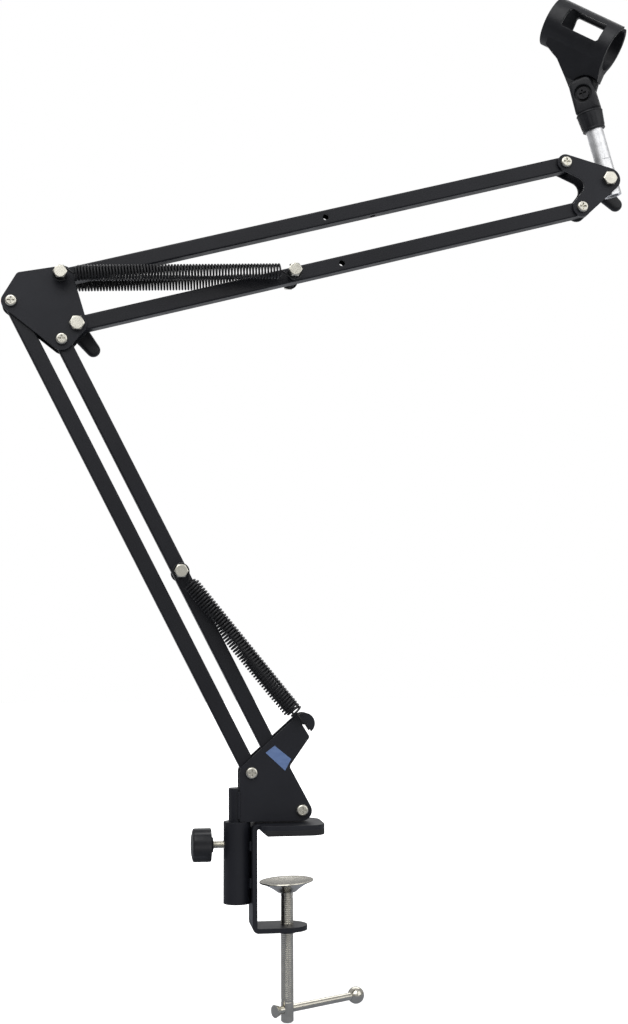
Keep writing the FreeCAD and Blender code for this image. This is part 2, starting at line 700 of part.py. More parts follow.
for name, point, degrees in (("elbow", U2, elbow_wing_angle), ("head", H3, head_wing_angle)):
    save(name + "_lock_bolt", lock_bolt(point))
    save(name + "_wing_knob", wing_knob(point, degrees))


def arc_from(start, heading, end):
    """Arc that leaves a point along a heading and ends at another point."""
    chord = end - start
    along = chord * (1 / chord.Length)
    across = heading - along * heading.dot(along)
    angle = math.atan2(across.Length, heading.dot(along))
    middle = (start + end) * 0.5 + across * (chord.Length / 2 * math.tan(angle / 2) / across.Length)
    return Part.Arc(start, middle, end).toShape()


def biarc(p1, t1, p2, t2):
    """Two tangent arcs between two points with given unit headings."""
    v = p2 - p1
    t = t1 + t2
    spread = 2 * (1 - t1.dot(t2))
    reach = (-v.dot(t) + math.sqrt(v.dot(t) ** 2 + spread * v.dot(v))) / spread
    meet = (p1 + p2 + (t1 - t2) * reach) * 0.5
    return [arc_from(p1, t1, meet), arc_from(p2, t2 * -1, meet)]


def coil(name, top, coil_start, coil_end, foot_edges):
    """Open-wound spring from a straight lead at a bolt, through its turns, to the foot's edges.

    The foot's edges are given as a function of the last point on the coil's axis and its heading.
    """
    axis = coil_end - coil_start
    length = axis.Length
    axis = axis * (1 / length)
    side = axis.cross(V(0, 1, 0))
    side = side * (1 / side.Length)
    up = side.cross(axis)
    radius = (coil_diameter - wire_diameter) / 2
    half_turns = 2 * spring_turns
    rise = length / half_turns
    points = []
    for k in range(half_turns + 1):
        sign = 1 if k % 2 == 0 else -1
        tangent = side * (-sign) * (math.pi * radius) + axis * rise
        place = coil_start + axis * (rise * k) + up * (radius * sign)
        points.append((place, tangent * (1 / tangent.Length)))
    lead = coil_start - axis * coil_lead
    edges = [Part.LineSegment(top, lead).toShape()] + biarc(lead, axis, points[0][0], points[0][1])
    for k in range(half_turns):
        edges += biarc(points[k][0], points[k][1], points[k + 1][0], points[k + 1][1])
    leave = coil_end + axis * coil_lead
    edges += biarc(points[-1][0], points[-1][1], leave, axis)
    edges += foot_edges(leave, axis)
    path = Part.Wire(Part.__sortEdges__(edges))
    section = Part.Wire(Part.makeCircle(wire_diameter / 2, top, axis))
    solid = path.makePipeShell([section], True, False)
    measure_gap(name, path, solid)
    return solid


def measure_gap(name, path, solid):
    """Prints the least gap of a spring's wire to itself, measured on points, and its volume ratio."""
    samples = path.discretize(Distance=wire_diameter)
    neighbours = 5
    spans = [(a - b).Length for i, a in enumerate(samples) for b in samples[i + neighbours:]]
    least = min(spans) - wire_diameter
    ideal = math.pi * wire_diameter ** 2 / 4 * path.Length
    print(name, "least gap", round(least, 2), "volume over wire", round(solid.Volume / ideal, 4))
    if least < least_turn_gap:
        raise ValueError(name + " turns are too close")


seat = bush_diameter / 2 + side_play


def upper_spring(y):
    """Spring from the elbow's bolt to the bottom bar's bolt."""
    shift = V(0, y, 0)
    way = (S1 - U1) * (1 / (S1 - U1).Length)
    top = U1 + shift + way * seat
    end = S1 + shift - way * seat
    first_turn = U1 + shift + way * upper_coil_margin
    last_turn = S1 + shift - way * upper_coil_margin
    return coil("upper spring", top, first_turn, last_turn,
                lambda leave, axis: [Part.LineSegment(leave, end).toShape()])


def lower_spring(y, side):
    """Spring from the inner bar's bolt to the base plate's hook."""
    slot_seat = hook_slot_width / 2 - wire_diameter / 2 - side_play
    foot = V(hook_seat.x, side * lower_spring_foot_plane, hook_seat.z)
    foot = foot + polar(slot_seat, hook_slot_angle + 180)
    start = S2 + V(0, y, 0)
    way = (foot - start) * (1 / (foot - start).Length)
    top = start + way * seat
    inward = V(0, -side, 0)
    plate_side = V(foot.x, side * (plate_outer + wire_diameter), foot.z)
    leg_end = V(foot.x, side * plate_inner, foot.z)
    return coil("lower spring", top, start + way * upper_coil_margin, foot - way * lower_coil_margin,
                lambda leave, axis: biarc(leave, axis, plate_side, inward)
                + [Part.LineSegment(plate_side, leg_end).toShape()])


for word, side in (("front", -1), ("back", 1)):
    save("upper_spring_" + word, upper_spring(side * spring_plane))
    save("lower_spring_" + word, lower_spring(side * spring_plane, side))


# Microphone post and clip, made upright with the post pivot at the origin, then leaned
def on_post(shape):
    """Moves an upright shape onto the leaning post at the head's pivot."""
    shape.translate(V(mic_post_offset, 0, 0))
    shape.rotate(V(0, 0, 0), V(0, 1, 0), 90 - mic_post_lean)
    shape.translate(H3)
    return shape


def on_swivel(shape):
    """Turns an upright shape about the post before it is leaned."""
    shape.rotate(V(0, 0, 0), V(0, 0, 1), clip_swivel_angle)
    return on_post(shape)


centre = V(0, 0, 0)
flat_half = plate_inner - side_play
mic_post = upright(0, 0, mic_post_diameter, -mic_post_tail, mic_post_shoulder)
for side in (-1, 1):
    near = flat_half if side > 0 else -flat_half - mic_post_diameter
    mic_post = mic_post.cut(Part.makeBox(2 * mic_post_diameter, mic_post_diameter, mic_post_flat_length,
                                         V(-mic_post_diameter, near, -mic_post_tail)))
mic_post = mic_post.cut(upright(0, 0, mic_post_bore, -mic_post_tail, mic_post_bore_depth - mic_post_tail))
spigot_top = mic_post_shoulder + spigot_length
mic_post = mic_post.fuse(upright(0, 0, spigot_diameter, mic_post_shoulder, spigot_top))
bolt_place = V(-mic_post_offset, 0, 0)
mic_post = mic_post.removeSplitter().cut(rod(bolt_place, bolt_hole, -mic_post_diameter, mic_post_diameter))
save("mic_post", on_post(mic_post))

hinge = V(0, 0, clip_hinge_rise)
cheek_half = clip_base_depth / 2
base_foot = mic_post_shoulder + side_play
skirt_top = base_foot + clip_skirt_length
skirt = Part.makeCone(clip_skirt_foot / 2, clip_skirt_top / 2, clip_skirt_length, V(0, 0, base_foot))
cheek_corner = clip_cheek_width / 2 - clip_shoulder_round
cheek_top = hinge.z + clip_swing_radius
cheek_corners = ((-cheek_corner, skirt_top), (cheek_corner, skirt_top),
                 (cheek_corner, cheek_top), (-cheek_corner, cheek_top))
cheeks = slab([(x, z, clip_shoulder_round, 1) for x, z in cheek_corners], -cheek_half, cheek_half)
above_hinge = Part.makeBox(2 * clip_cheek_width, clip_base_depth, 2 * clip_swing_radius,
                           V(-clip_cheek_width, -cheek_half, hinge.z))
swing_core = rod(hinge, 2 * (clip_swing_radius - clip_swing_gap), -cheek_half, cheek_half)
cheeks = cheeks.cut(above_hinge).fuse(cheeks.common(swing_core).common(above_hinge)).removeSplitter()
clip_base = cheeks.fuse(skirt).removeSplitter()
tongue_room = clip_swing_radius + clip_swing_gap
tongue_gap = clip_tongue / 2 + side_play
clip_base = clip_base.cut(rod(hinge, 2 * tongue_room, -tongue_gap, tongue_gap))
clip_base = clip_base.cut(Part.makeBox(2 * clip_cheek_width, 2 * tongue_gap, clip_cheek_width,
                                       V(-clip_cheek_width, -tongue_gap, hinge.z)))
spigot_room = spigot_diameter + 2 * running_gap
clip_base = clip_base.cut(upright(0, 0, spigot_room, base_foot, spigot_top + side_play))
hinge_hole = clip_hinge_diameter + 2 * running_gap
head_floor = -cheek_half + clip_hinge_head_depth
nut_floor = cheek_half - clip_hinge_head_depth
clip_base = clip_base.cut(rod(hinge, hinge_hole, -clip_base_depth, clip_base_depth))
head_recess = clip_hinge_head + 2 * clip_hinge_head_room
clip_base = clip_base.cut(rod(hinge, head_recess, -clip_base_depth, head_floor))
clip_base = clip_base.cut(hexagon(hinge, clip_nut_flats + 2 * side_play, nut_floor, clip_base_depth))
save("clip_base", on_swivel(clip_base))

hinge_reach = cheek_half - clip_hinge_sink
screw = rod(hinge, clip_hinge_head, -hinge_reach, head_floor)
hinge_cross = (hinge_cross_width, hinge_cross_blade)
for long_side, short_side in (hinge_cross, hinge_cross[::-1]):
    corner = V(-long_side / 2, -hinge_reach, hinge.z - short_side / 2)
    screw = screw.cut(Part.makeBox(long_side, hinge_cross_depth, short_side, corner))
screw = screw.fuse(rod(hinge, clip_hinge_diameter, head_floor, hinge_reach)).removeSplitter()
save("clip_hinge_screw", on_swivel(screw))
save("clip_hinge_nut", on_swivel(nut(hinge, clip_nut_flats, clip_hinge_diameter, nut_floor, hinge_reach)))

web_top = clip_stem - clip_bore / 2 - clip_wall / 2
tube_left = -clip_offset - clip_length / 2
tube_right = tube_left + clip_length
web_left = tube_left + clip_web_inset
web_right = tube_right - clip_web_round
hollow_z = web_top - clip_web_hollow - 2 * clip_web_round
tube_half = clip_diameter / 2
web_outline = [(0, 0, clip_cheek_radius - side_play, 1),
               (tube_right + clip_web_round, web_top, clip_web_round, -1),
               (web_right, clip_stem, clip_web_round, 1),
               (web_left, clip_stem, clip_web_round, 1),
               (web_left, web_top, clip_web_round, 1),
               (web_left + clip_web_round, hollow_z, clip_web_hollow, -1)]
stem = slab(web_outline, -clip_tongue / 2, clip_tongue / 2)
# The flanks run smoothly from the tube's sides down to the width of the base's cheeks
taper = slab([(0, clip_stem, tube_half - clip_flank_inset, 1),
              (0, clip_flank_rise, clip_flank_round, 1)], -clip_length, clip_length)
taper.rotate(centre, V(0, 0, 1), 90)
flanks = slab(web_outline, -tube_half, tube_half).common(taper)
flanks = flanks.cut(rod(centre, 2 * clip_swing_radius, -tube_half, tube_half))
tube_start = V(tube_left, 0, clip_stem)
tube = Part.makeCylinder(tube_half, clip_length, tube_start, V(1, 0, 0))
clip = stem.fuse(flanks).fuse(tube).removeSplitter()
clip = clip.cut(Part.makeCylinder(clip_bore / 2, clip_length, tube_start, V(1, 0, 0)))
clip = clip.cut(Part.makeBox(clip_length, clip_slit, clip_diameter, tube_start + V(0, -clip_slit / 2, 0)))
window_x = clip_window_length / 2 - clip_window_round
window_z = clip_window_height / 2 - clip_window_round
window_middle = clip_stem + clip_window_rise
window_place = clip_window_shift - clip_offset
window = slab([(a * window_x + window_place, window_middle + b * window_z, clip_window_round, 1)
               for a, b in ((-1, -1), (1, -1), (1, 1), (-1, 1))], -clip_diameter, clip_diameter)
clip = clip.cut(window)
clip = clip.cut(rod(centre, hinge_hole, -clip_tongue, clip_tongue))
clip.rotate(centre, V(0, 1, 0), clip_tilt_angle)
clip.translate(hinge)
save("mic_clip", on_swivel(clip))
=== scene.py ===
# Spring-balanced desk-clamp boom arm for a microphone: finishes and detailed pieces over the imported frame.
import bmesh
import bpy
import json
import math
from mathutils import Matrix, Vector

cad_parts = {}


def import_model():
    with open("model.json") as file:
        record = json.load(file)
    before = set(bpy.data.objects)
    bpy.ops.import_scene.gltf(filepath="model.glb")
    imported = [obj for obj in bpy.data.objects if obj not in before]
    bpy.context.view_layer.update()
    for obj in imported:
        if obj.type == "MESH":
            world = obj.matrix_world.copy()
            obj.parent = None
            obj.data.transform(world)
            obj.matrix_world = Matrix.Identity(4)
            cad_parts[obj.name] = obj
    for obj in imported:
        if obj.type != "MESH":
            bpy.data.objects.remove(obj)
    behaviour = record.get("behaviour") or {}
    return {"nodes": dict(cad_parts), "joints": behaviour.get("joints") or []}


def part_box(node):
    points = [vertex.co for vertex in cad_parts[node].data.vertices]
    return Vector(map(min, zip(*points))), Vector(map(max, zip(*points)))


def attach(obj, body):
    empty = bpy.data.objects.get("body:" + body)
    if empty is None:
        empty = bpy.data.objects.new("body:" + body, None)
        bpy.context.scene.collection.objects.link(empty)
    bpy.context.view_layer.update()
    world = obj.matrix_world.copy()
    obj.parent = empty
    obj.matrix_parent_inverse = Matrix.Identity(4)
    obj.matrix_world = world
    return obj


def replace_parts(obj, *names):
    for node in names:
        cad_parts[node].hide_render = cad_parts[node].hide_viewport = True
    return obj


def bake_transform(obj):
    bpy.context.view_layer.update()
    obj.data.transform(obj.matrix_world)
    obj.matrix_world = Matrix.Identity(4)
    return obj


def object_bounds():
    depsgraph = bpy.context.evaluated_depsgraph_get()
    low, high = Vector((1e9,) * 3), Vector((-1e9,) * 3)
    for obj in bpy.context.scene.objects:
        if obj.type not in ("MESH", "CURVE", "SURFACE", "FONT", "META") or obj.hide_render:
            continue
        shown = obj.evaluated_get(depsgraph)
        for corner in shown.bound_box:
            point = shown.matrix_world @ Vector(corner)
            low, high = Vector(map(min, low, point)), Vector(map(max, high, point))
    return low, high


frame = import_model()
cad_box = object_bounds()
mm = 0.001

# Camera, fitted to the pivots of the arm
image_height = 1024
focal_pixels = 1404.9
camera_place = Vector((-113.75, -915.8, 117.6)) * mm
camera_yaw = 0.1438          # radians, towards +X
camera_pitch = 0.0970        # upwards
camera_roll = -0.0052
sensor = 36.0

# Spring wire
wire_diameter = 1.4 * mm
coil_diameter = 10.6 * mm
upper_turns = 67
lower_turns = 51
steps_per_turn = 22
spring_plane = 13.4 * mm     # arm plane to a spring's axis at its bolts
coil_margin = 9.0 * mm       # bolt axis to the first turn
hook_margin = 9.0 * mm       # hook to the last turn
hook_plane = 11.2 * mm       # arm plane to a lower spring's axis at its hook
hook_bend = 0.5 * mm         # how far the leg's bend reaches past the hook
bend_steps = 12
eye_clearance = 0.1 * mm     # bush to wire
eye_reach = 3.2 * mm         # eye to the end of its lead
plate_inner = 5.5 * mm
plate_outer = 7.0 * mm
wire_sides = 8
coil_phase = {"front": 0.0, "back": 0.5}
# Shares of a spring's length: where its root ends, and where each part's turn with the arm begins and ends
upper_turning = {"split": 0.125, "root": (0.03, 0.20), "rest": (-0.81, 0.86)}
lower_turning = {"split": 0.15, "root": (0.02, 0.303), "rest": (-0.574, 1.0)}

# Bolts, knobs and screws
bolt_head_height = 3.5 * mm
bolt_diameter = 5.0 * mm
shank_sunk = 0.5 * mm        # shank's start inside the head
shank_bevel = 0.5 * mm
chamfer_slope = math.tan(math.radians(30))
wing_angles = {"elbow": -51.0, "head": -42.0}
wing_span = 42.0 * mm
wing_root_width = 12.4 * mm
wing_tip_width = 9.4 * mm
wing_thickness = 6.0 * mm
wing_edge = 2.6 * mm
wing_hub_diameter = 12.0 * mm
hub_bevel = 0.6 * mm
hub_sunk = 1.0 * mm          # hub's end below the wings' face
knob_lobes = 7
knob_flute = 0.6 * mm
knob_edge = 1.6 * mm
knob_dome = 1.0 * mm         # rise of the knob's domed face
knob_face = ((0.35, 0.10 * mm), (0.6, 0.35 * mm))        # share of the radius, distance along the axis
knob_back = ((1.0, 0.86), (0.98, 0.89), (0.92, 0.91))    # shares of the radius and of the length
knob_hub_foot = 0.52         # share of the radius
knob_hub_end = 0.4
knob_hub_length = 1.1 * mm
lock_pitch = 0.8 * mm
lock_depth = 0.5 * mm
lock_crest = 0.3             # flat share of the pitch
clamp_pitch = 1.25 * mm
clamp_depth = 0.18 * mm
clamp_crest = 0.8
clamp_plain = 12.5 * mm      # unthreaded foot
clamp_bevel = 0.9 * mm
clamp_end = 4.0 * mm         # upper end that is left out, inside the pad

# Pressure pad
pad_tilt = 2.5               # degrees, the dish rests askew on its ball
dish_depth = 1.4 * mm
dish_margin = 0.6 * mm       # rim to the dish
rim_section = ((0.2 * mm, 0.1 * mm), (0.0, 0.6 * mm), (0.3 * mm, 1.0 * mm))    # inset and drop of the rim
bowl_neck = 6.2 * mm         # radius
bowl_depth = 6.4 * mm
bowl_straight = 0.55         # share of the bowl's fall that is straight
bowl_curved = 0.45
boss_radius = 4.0 * mm
boss_drop = 7.7 * mm         # rim to the boss

# Clip base
skirt_rise = 37.7 * mm       # post pivot to the foot of the clip's skirt
skirt_foot = 7.9 * mm        # radius
skirt_top = 9.3 * mm
skirt_length = 13.6 * mm
skirt_lip = 1.4 * mm
lip_bevel = 0.3 * mm
lip_band = 0.9 * mm          # straight part of the lip
skirt_ribs = 18
rib_points = 8
rib_height = 0.15 * mm
rib_fade = 1.0 * mm          # run-out at a rib's ends
ridge_round = 1.6 * mm
cheek_half_width = 8.6 * mm
cheek_foot = -11.4 * mm      # below the hinge, middle of the lower corners' rounds
cheek_foot_round = 2.0 * mm
cheek_top_x = 3.6 * mm       # middle of the upper corners' rounds, from the hinge
cheek_top_z = 6.6 * mm
cheek_top_round = 4.6 * mm
cheek_outer = 5.8 * mm       # hinge plane to the cheeks' outer faces
cheek_inner = 2.5 * mm
cheek_edge = 2.2 * mm
recess_floor = 3.6 * mm
head_recess = 5.9 * mm       # radius
nut_recess = 4.0 * mm
recess_bevel = 0.4 * mm
outline_step = 0.8 * mm
corner_step = 9              # degrees between the points of a rounded corner

# Stage
floor_gap = 20.0 * mm        # room for the clamp screw when it is wound down
floor_half = 6.0
floor_front = -0.3           # the sweep's front edge
floor_colour = (0.9, 0.9, 0.9)
mirrored_floor = (0.26, 0.28, 0.33)
front_levels = (0.46, 0.58)  # what polished pieces mirror: below and above eye level in front
gloom_levels = (0.86, 0.2)   # how far the sides are darker, below and above
behind_level = 0.28
above_level = 0.6
plain_level = 0.45           # light on everything else
lamp_target = (0.0, 0.0, 0.25)
key_watts = 27
fill_watts = 9
rim_watts = 12


# Places taken from the frame
def middle(node):
    """Middle of a node's box."""
    low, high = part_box(node)
    return (low + high) / 2


joint_place = {joint["name"]: Vector(joint["pos_m"]) for joint in frame["joints"] if "pos_m" in joint}
joint_axis = {joint["name"]: Vector(joint["axis"]) for joint in frame["joints"]}
spring_low, spring_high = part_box("lower_spring_front")
hook_leg = Vector((spring_high.x - wire_diameter / 2, 0, spring_low.z + wire_diameter / 2))


# Materials
def new_material(name):
    """Empty node material with its shader and a position input in metres."""
    material = bpy.data.materials.new(name + "_finish")
    material.use_nodes = True
    tree = material.node_tree
    shader = tree.nodes["Principled BSDF"]
    place = tree.nodes.new("ShaderNodeTexCoord")
    return material, tree, shader, place.outputs["Object"]


def noise(tree, place, scale, detail=3.0, stretch=None):
    """Noise value over the surface, with features of about 1 / scale metres."""
    if stretch is not None:
        mapping = tree.nodes.new("ShaderNodeMapping")
        mapping.inputs["Scale"].default_value = stretch
        tree.links.new(place, mapping.inputs["Vector"])
        place = mapping.outputs["Vector"]
    node = tree.nodes.new("ShaderNodeTexNoise")
    node.inputs["Scale"].default_value = scale
    node.inputs["Detail"].default_value = detail
    tree.links.new(place, node.inputs["Vector"])
    return node.outputs["Fac"]


def remap(tree, value, low, high, to_low, to_high):
    """Clamped linear change of a value's range."""
    node = tree.nodes.new("ShaderNodeMapRange")
    node.inputs["From Min"].default_value = low
    node.inputs["From Max"].default_value = high
    node.inputs["To Min"].default_value = to_low
    node.inputs["To Max"].default_value = to_high
    tree.links.new(value, node.inputs["Value"])
    return node.outputs["Result"]


def blend_colours(tree, value, low, high):
    """Colour between two colours by a value from 0 to 1."""
    node = tree.nodes.new("ShaderNodeMix")
    node.data_type = "RGBA"
    node.inputs["A"].default_value = (*low, 1)
    node.inputs["B"].default_value = (*high, 1)
    tree.links.new(value, node.inputs["Factor"])
    return node.outputs["Result"]


def combine(tree, operation, first, second):
    """One arithmetic step on two values, or on a value and a number."""
    node = tree.nodes.new("ShaderNodeMath")
    node.operation = operation
    for socket, value in zip(node.inputs, (first, second)):
        if isinstance(value, (int, float)):
            socket.default_value = value
        else:
            tree.links.new(value, socket)
    return node.outputs["Value"]


def softened(tree, radius):
    """Normal that rounds the sharp edges off."""
    rounded = tree.nodes.new("ShaderNodeBevel")
    rounded.samples = 6
    rounded.inputs["Radius"].default_value = radius
    return rounded.outputs["Normal"]


def bump(tree, shader, height, depth, normal):
    """Relief of a real depth in metres over softened edges."""
    node = tree.nodes.new("ShaderNodeBump")
    node.inputs["Strength"].default_value = 1.0
    node.inputs["Distance"].default_value = depth
    tree.links.new(height, node.inputs["Height"])
    tree.links.new(normal, node.inputs["Normal"])
    tree.links.new(node.outputs["Normal"], shader.inputs["Normal"])


def edge_mask(tree, place, normal, breakup):
    """Value near 1 along worn edges, broken up by noise, and 0 on plain faces."""
    geometry = tree.nodes.new("ShaderNodeNewGeometry")
    dot = tree.nodes.new("ShaderNodeVectorMath")
    dot.operation = "DOT_PRODUCT"
    tree.links.new(normal, dot.inputs[0])
    tree.links.new(geometry.outputs["Normal"], dot.inputs[1])
    sharp = remap(tree, dot.outputs["Value"], 0.98, 0.8, 0.0, 1.0)
    worn = remap(tree, noise(tree, place, breakup), 0.42, 0.62, 0.0, 1.0)
    return combine(tree, "MULTIPLY", sharp, worn)


def coated(name, dark, light, worn, roughness, grain, depth):
    """Black coating with an orange-peel grain, faint shade changes and edges rubbed a little lighter."""
    material, tree, shader, place = new_material(name)
    shader.inputs["Specular IOR Level"].default_value = 0.28
    shade = remap(tree, noise(tree, place, 24), 0.3, 0.7, 0.0, 1.0)
    body = blend_colours(tree, shade, dark, light)
    normal = softened(tree, 0.5 * mm)
    edges = edge_mask(tree, place, normal, 300)
    mix = tree.nodes.new("ShaderNodeMix")
    mix.data_type = "RGBA"
    tree.links.new(body, mix.inputs["A"])
    mix.inputs["B"].default_value = (*worn, 1)
    tree.links.new(combine(tree, "MULTIPLY", edges, 0.7), mix.inputs["Factor"])
    tree.links.new(mix.outputs["Result"], shader.inputs["Base Color"])
    patches = noise(tree, place, 90)
    level = remap(tree, patches, 0.3, 0.7, roughness - 0.05, roughness + 0.06)
    tree.links.new(level, shader.inputs["Roughness"])
    bump(tree, shader, noise(tree, place, grain, 2.0), depth, normal)
    return material


def plated(name, colour, roughness, grain, depth, stretch=None):
    """Bare or plated metal with fine tool marks and dull patches."""
    material, tree, shader, place = new_material(name)
    shader.inputs["Metallic"].default_value = 1.0
    dull = tuple(0.82 * channel for channel in colour)
    shade = remap(tree, noise(tree, place, 160), 0.35, 0.7, 0.0, 1.0)
    tree.links.new(blend_colours(tree, shade, colour, dull), shader.inputs["Base Color"])
    tree.links.new(remap(tree, noise(tree, place, 420), 0.3, 0.7, roughness, roughness + 0.1),
                   shader.inputs["Roughness"])
    bump(tree, shader, noise(tree, place, grain, 2.0, stretch), depth, softened(tree, 0.25 * mm))
    return material


def moulded(name, dark, light, roughness, grain, depth):
    """Moulded plastic or rubber with a fine spark-eroded grain."""
    material, tree, shader, place = new_material(name)
    shader.inputs["Specular IOR Level"].default_value = 0.3
    shade = remap(tree, noise(tree, place, 60), 0.3, 0.7, 0.0, 1.0)
    tree.links.new(blend_colours(tree, shade, dark, light), shader.inputs["Base Color"])
    tree.links.new(remap(tree, noise(tree, place, 300), 0.3, 0.7, roughness - 0.05, roughness + 0.08),
                   shader.inputs["Roughness"])
    bump(tree, shader, noise(tree, place, grain, 2.0), depth, softened(tree, 0.8 * mm))
    return material


def film(name, colour, paler):
    """Printed film with a soft sheen and faint streaks."""
    material, tree, shader, place = new_material(name)
    streaks = remap(tree, noise(tree, place, 120, 3.0, (1, 1, 5)), 0.3, 0.7, 0.0, 1.0)
    tree.links.new(blend_colours(tree, streaks, colour, paler), shader.inputs["Base Color"])
    tree.links.new(remap(tree, noise(tree, place, 700), 0.3, 0.7, 0.32, 0.48), shader.inputs["Roughness"])
    bump(tree, shader, noise(tree, place, 900), 0.004 * mm, softened(tree, 0.1 * mm))
    return material


def nylon(name, colour):
    """Milky washer plastic."""
    material, tree, shader, place = new_material(name)
    shade = remap(tree, noise(tree, place, 500), 0.3, 0.7, 0.0, 1.0)
    dull = tuple(0.8 * channel for channel in colour)
    tree.links.new(blend_colours(tree, shade, colour, dull), shader.inputs["Base Color"])
    shader.inputs["Roughness"].default_value = 0.4
    shader.inputs["Transmission Weight"].default_value = 0.3
    return material


finish = {
    "powder_black": coated("powder_black", (0.0075, 0.0083, 0.0122), (0.0110, 0.0119, 0.0165),
                           (0.045, 0.045, 0.047), 0.46, 1300, 0.018 * mm),
    "bar_black": coated("bar_black", (0.0055, 0.0060, 0.0088), (0.0085, 0.0091, 0.0126),
                        (0.045, 0.045, 0.046), 0.42, 1600, 0.012 * mm),
    "spring_black": coated("spring_black", (0.0090, 0.0092, 0.0105), (0.0140, 0.0143, 0.0160),
                           (0.07, 0.07, 0.07), 0.36, 2600, 0.008 * mm),
    "nickel": plated("nickel", (0.70, 0.68, 0.60), 0.24, 2400, 0.006 * mm),
    "bright_steel": plated("bright_steel", (0.62, 0.595, 0.52), 0.14, 1800, 0.004 * mm),
    "post_alloy": plated("post_alloy", (0.86, 0.865, 0.88), 0.42, 900, 0.004 * mm, (6, 6, 0.4)),
    "moulded_black": moulded("moulded_black", (0.0078, 0.0083, 0.0105), (0.0115, 0.0121, 0.0150),
                             0.42, 2800, 0.012 * mm),
    "dark_steel": plated("dark_steel", (0.035, 0.035, 0.037), 0.38, 2400, 0.006 * mm),
    "jaw_rubber": moulded("jaw_rubber", (0.010, 0.010, 0.011), (0.016, 0.016, 0.017), 0.66, 2000, 0.02 * mm),
    "clear_nylon": nylon("clear_nylon", (0.62, 0.61, 0.56)),
    "label_blue": film("label_blue", (0.092, 0.15, 0.31), (0.115, 0.18, 0.35)),
}

for node in frame["nodes"].values():
    for place in node.material_slots:
        place.material = finish[place.material.name.split(".")[0]]


# Mesh helpers
def piece(name, bm, body, slot, sharp_degrees=35.0):
    """Closes a mesh into a shaded object that rides on a body."""
    bmesh.ops.recalc_face_normals(bm, faces=bm.faces)
    mesh = bpy.data.meshes.new(name)
    bm.to_mesh(mesh)
    bm.free()
    shape = bpy.data.objects.new(name, mesh)
    bpy.context.scene.collection.objects.link(shape)
    mesh.materials.append(finish[slot])
    mesh.shade_smooth()
    mesh.set_sharp_from_angle(angle=math.radians(sharp_degrees))
    if body is not None:
        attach(shape, body)
    return shape


def tube(bm, points, radius, sides):
    """Round wire along a list of points, with capped ends and no twist."""
    count = len(points)
    tangents = []
    for i in range(count):
        tangents.append((points[min(i + 1, count - 1)] - points[max(i - 1, 0)]).normalized())
    normal = tangents[0].orthogonal().normalized()
    rings = []
    for i in range(count):
        if i > 0:
            normal = tangents[i - 1].rotation_difference(tangents[i]) @ normal
            normal = (normal - tangents[i] * normal.dot(tangents[i])).normalized()
        other = tangents[i].cross(normal)
        ring = []
        for k in range(sides):
            angle = 2 * math.pi * k / sides
            spoke = normal * math.cos(angle) + other * math.sin(angle)
            ring.append(bm.verts.new(points[i] + spoke * radius))
        rings.append(ring)
    for low, high in zip(rings, rings[1:]):
        for k in range(sides):
            bm.faces.new((low[k], low[(k + 1) % sides], high[(k + 1) % sides], high[k]))
    bm.faces.new(rings[0])
    bm.faces.new(rings[-1])


def lathe(bm, profile, centre, axis, sides, swell=None):
    """Closed turned shape from (radius, distance along the axis) points; swell scales the radius by angle."""
    axis = axis.normalized()
    first = axis.orthogonal().normalized()
    second = axis.cross(first)
    rings = []
    for radius, along in profile:
        foot = centre + axis * along
        if radius <= 0:
            rings.append([bm.verts.new(foot)])
            continue
        ring = []
        for k in range(sides):
            angle = 2 * math.pi * k / sides
            spoke = first * math.cos(angle) + second * math.sin(angle)
            reach = radius * swell(angle, along) if swell else radius
            ring.append(bm.verts.new(foot + spoke * reach))
        rings.append(ring)
    for low, high in zip(rings, rings[1:]):
        for k in range(sides):
            after = k + 1
            corners = [low[k % len(low)], low[after % len(low)],
                       high[after % len(high)], high[k % len(high)]]
            bm.faces.new(list(dict.fromkeys(corners)))


def belt(circles):
    """Points (x, z) and outward normals of an outline round circles (x, z, radius), listed anticlockwise."""
    count = len(circles)
    normals = []
    for i in range(count):
        x1, z1, r1 = circles[i]
        x2, z2, r2 = circles[(i + 1) % count]
        span = math.hypot(x2 - x1, z2 - z1)
        along_x = (x2 - x1) / span
        along_z = (z2 - z1) / span
        lean = (r1 - r2) / span
        rest = math.sqrt(1 - lean * lean)
        normals.append((along_x * lean + along_z * rest, along_z * lean - along_x * rest))
    outline = []
    for i in range(count):
        x, z, radius = circles[i]
        heading = math.atan2(normals[i - 1][1], normals[i - 1][0])
        turn = (math.atan2(normals[i][1], normals[i][0]) - heading) % (2 * math.pi)
        steps = max(2, math.ceil(math.degrees(turn) / corner_step))
        for k in range(steps + 1):
            angle = heading + turn * k / steps
            nx = math.cos(angle)
            nz = math.sin(angle)
            outline.append((x + radius * nx, z + radius * nz, nx, nz))
    return outline


def divided(outline, step):
    """The same outline with more points on its straight runs."""
    points = []
    for first, second in zip(outline, outline[1:] + outline[:1]):
        count = max(1, math.ceil(math.hypot(second[0] - first[0], second[1] - first[1]) / step))
        for k in range(count):
            points.append(tuple(a + (b - a) * k / count for a, b in zip(first, second)))
    return points


def rounded_slab(bm, outline, y_low, y_high, edge):
    """Flat piece between two planes of y with its edges rounded."""
    steps = 6
    layers = []
    for k in range(steps + 1):
        angle = math.pi / 2 * k / steps
        layers.append((edge * (1 - math.sin(angle)), y_low + edge * (1 - math.cos(angle))))
    layers += [(inset, y_low + y_high - y) for inset, y in reversed(layers)]
    rings = []
    for inset, y in layers:
        rings.append([bm.verts.new((x - nx * inset, y, z - nz * inset)) for x, z, nx, nz in outline])
    count = len(outline)
    for low, high in zip(rings, rings[1:]):
        for k in range(count):
            bm.faces.new((low[k], low[(k + 1) % count], high[(k + 1) % count], high[k]))
    bm.faces.new(rings[0])
    bm.faces.new(rings[-1])


